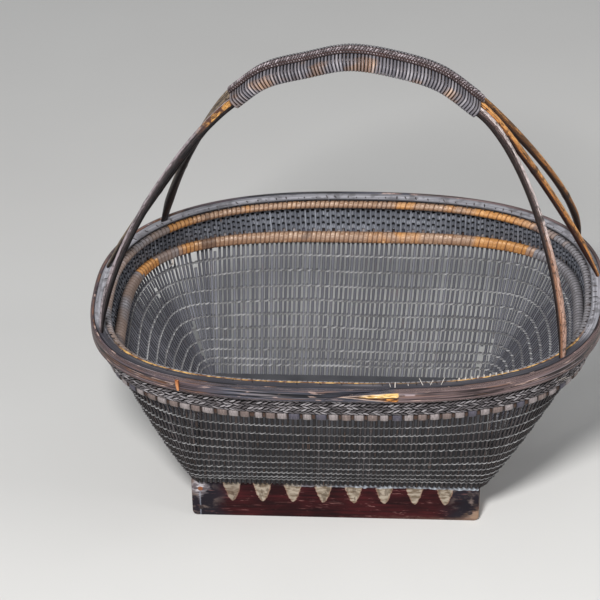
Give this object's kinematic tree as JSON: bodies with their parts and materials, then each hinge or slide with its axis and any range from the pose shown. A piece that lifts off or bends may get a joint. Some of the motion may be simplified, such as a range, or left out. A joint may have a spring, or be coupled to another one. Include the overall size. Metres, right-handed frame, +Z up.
{
  "type": "handled basket",
  "caption": "Oval-mouthed basket of split cane stakes on a rectangular lacquered wooden foot, with lashed hoops, a flat rim and a high bound handle of split canes.",
  "frame": {"origin": "on the ground under the middle of the mouth", "axes": "+X to the right along the mouth's longer side, +Y to the back, +Z up"},
  "size_m": [0.46, 0.321, 0.4473],
  "materials": {
    "stakes": "dusty grey-brown split cane",
    "weaver_strands": "grey split cane, worn pale on the crowns",
    "floor_board": "smooth dark board, blue-grey with dust",
    "foot_pegs": "pale end grain",
    "red_lacquer": "worn dark red lacquer with pale painted teeth and blackened ends",
    "lashed_hoops": "golden brown cane bound with flat strips",
    "collar_band": "open plaited cane, dusty",
    "border_braid": "braided dark cane with worn crowns",
    "rim_strip": "polished near-black flat cane, yellow where pared",
    "handle_canes": "polished brown split cane, darker in front",
    "grip_winding": "tight winding of narrow cane, grey with golden patches",
    "grip_braid": "braided ridge of narrow dark cane"
  },
  "bodies": {
    "root": {"back_left_stakes": "stakes", "back_right_stakes": "stakes", "back_stakes": "stakes", "border_braid": "border_braid", "collar_band": "collar_band", "floor_board": "floor_board", "foot_back_board": "red_lacquer", "foot_front_board": "red_lacquer", "foot_left_board": "red_lacquer", "foot_peg_back_left_lower": "foot_pegs", "foot_peg_back_left_upper": "foot_pegs", "foot_peg_back_right_lower": "foot_pegs", "foot_peg_back_right_upper": "foot_pegs", "foot_peg_front_left_lower": "foot_pegs", "foot_peg_front_left_upper": "foot_pegs", "foot_peg_front_right_lower": "foot_pegs", "foot_peg_front_right_upper": "foot_pegs", "foot_right_board": "red_lacquer", "front_left_stakes": "stakes", "front_right_stakes": "stakes", "front_stakes": "stakes", "grip_braid": "grip_braid", "grip_winding": "grip_winding", "handle_back_cane": "handle_canes", "handle_front_cane": "handle_canes", "handle_middle_cane": "handle_canes", "left_stakes": "stakes", "lower_inner_hoop": "lashed_hoops", "lower_outer_hoop": "lashed_hoops", "right_stakes": "stakes", "rim_strip": "rim_strip", "row_01_inner_strand": "weaver_strands", "row_01_outer_strand": "weaver_strands", "row_02_inner_strand": "weaver_strands", "row_02_outer_strand": "weaver_strands", "row_03_inner_strand": "weaver_strands", "row_03_outer_strand": "weaver_strands", "row_04_inner_strand": "weaver_strands", "row_04_outer_strand": "weaver_strands", "row_05_inner_strand": "weaver_strands", "row_05_outer_strand": "weaver_strands", "row_06_inner_strand": "weaver_strands", "row_06_outer_strand": "weaver_strands", "row_07_inner_strand": "weaver_strands", "row_07_outer_strand": "weaver_strands", "row_08_inner_strand": "weaver_strands", "row_08_outer_strand": "weaver_strands", "row_09_inner_strand": "weaver_strands", "row_09_outer_strand": "weaver_strands", "row_10_inner_strand": "weaver_strands", "row_10_outer_strand": "weaver_strands", "upper_inner_hoop": "lashed_hoops"}
  },
  "joints": []
}
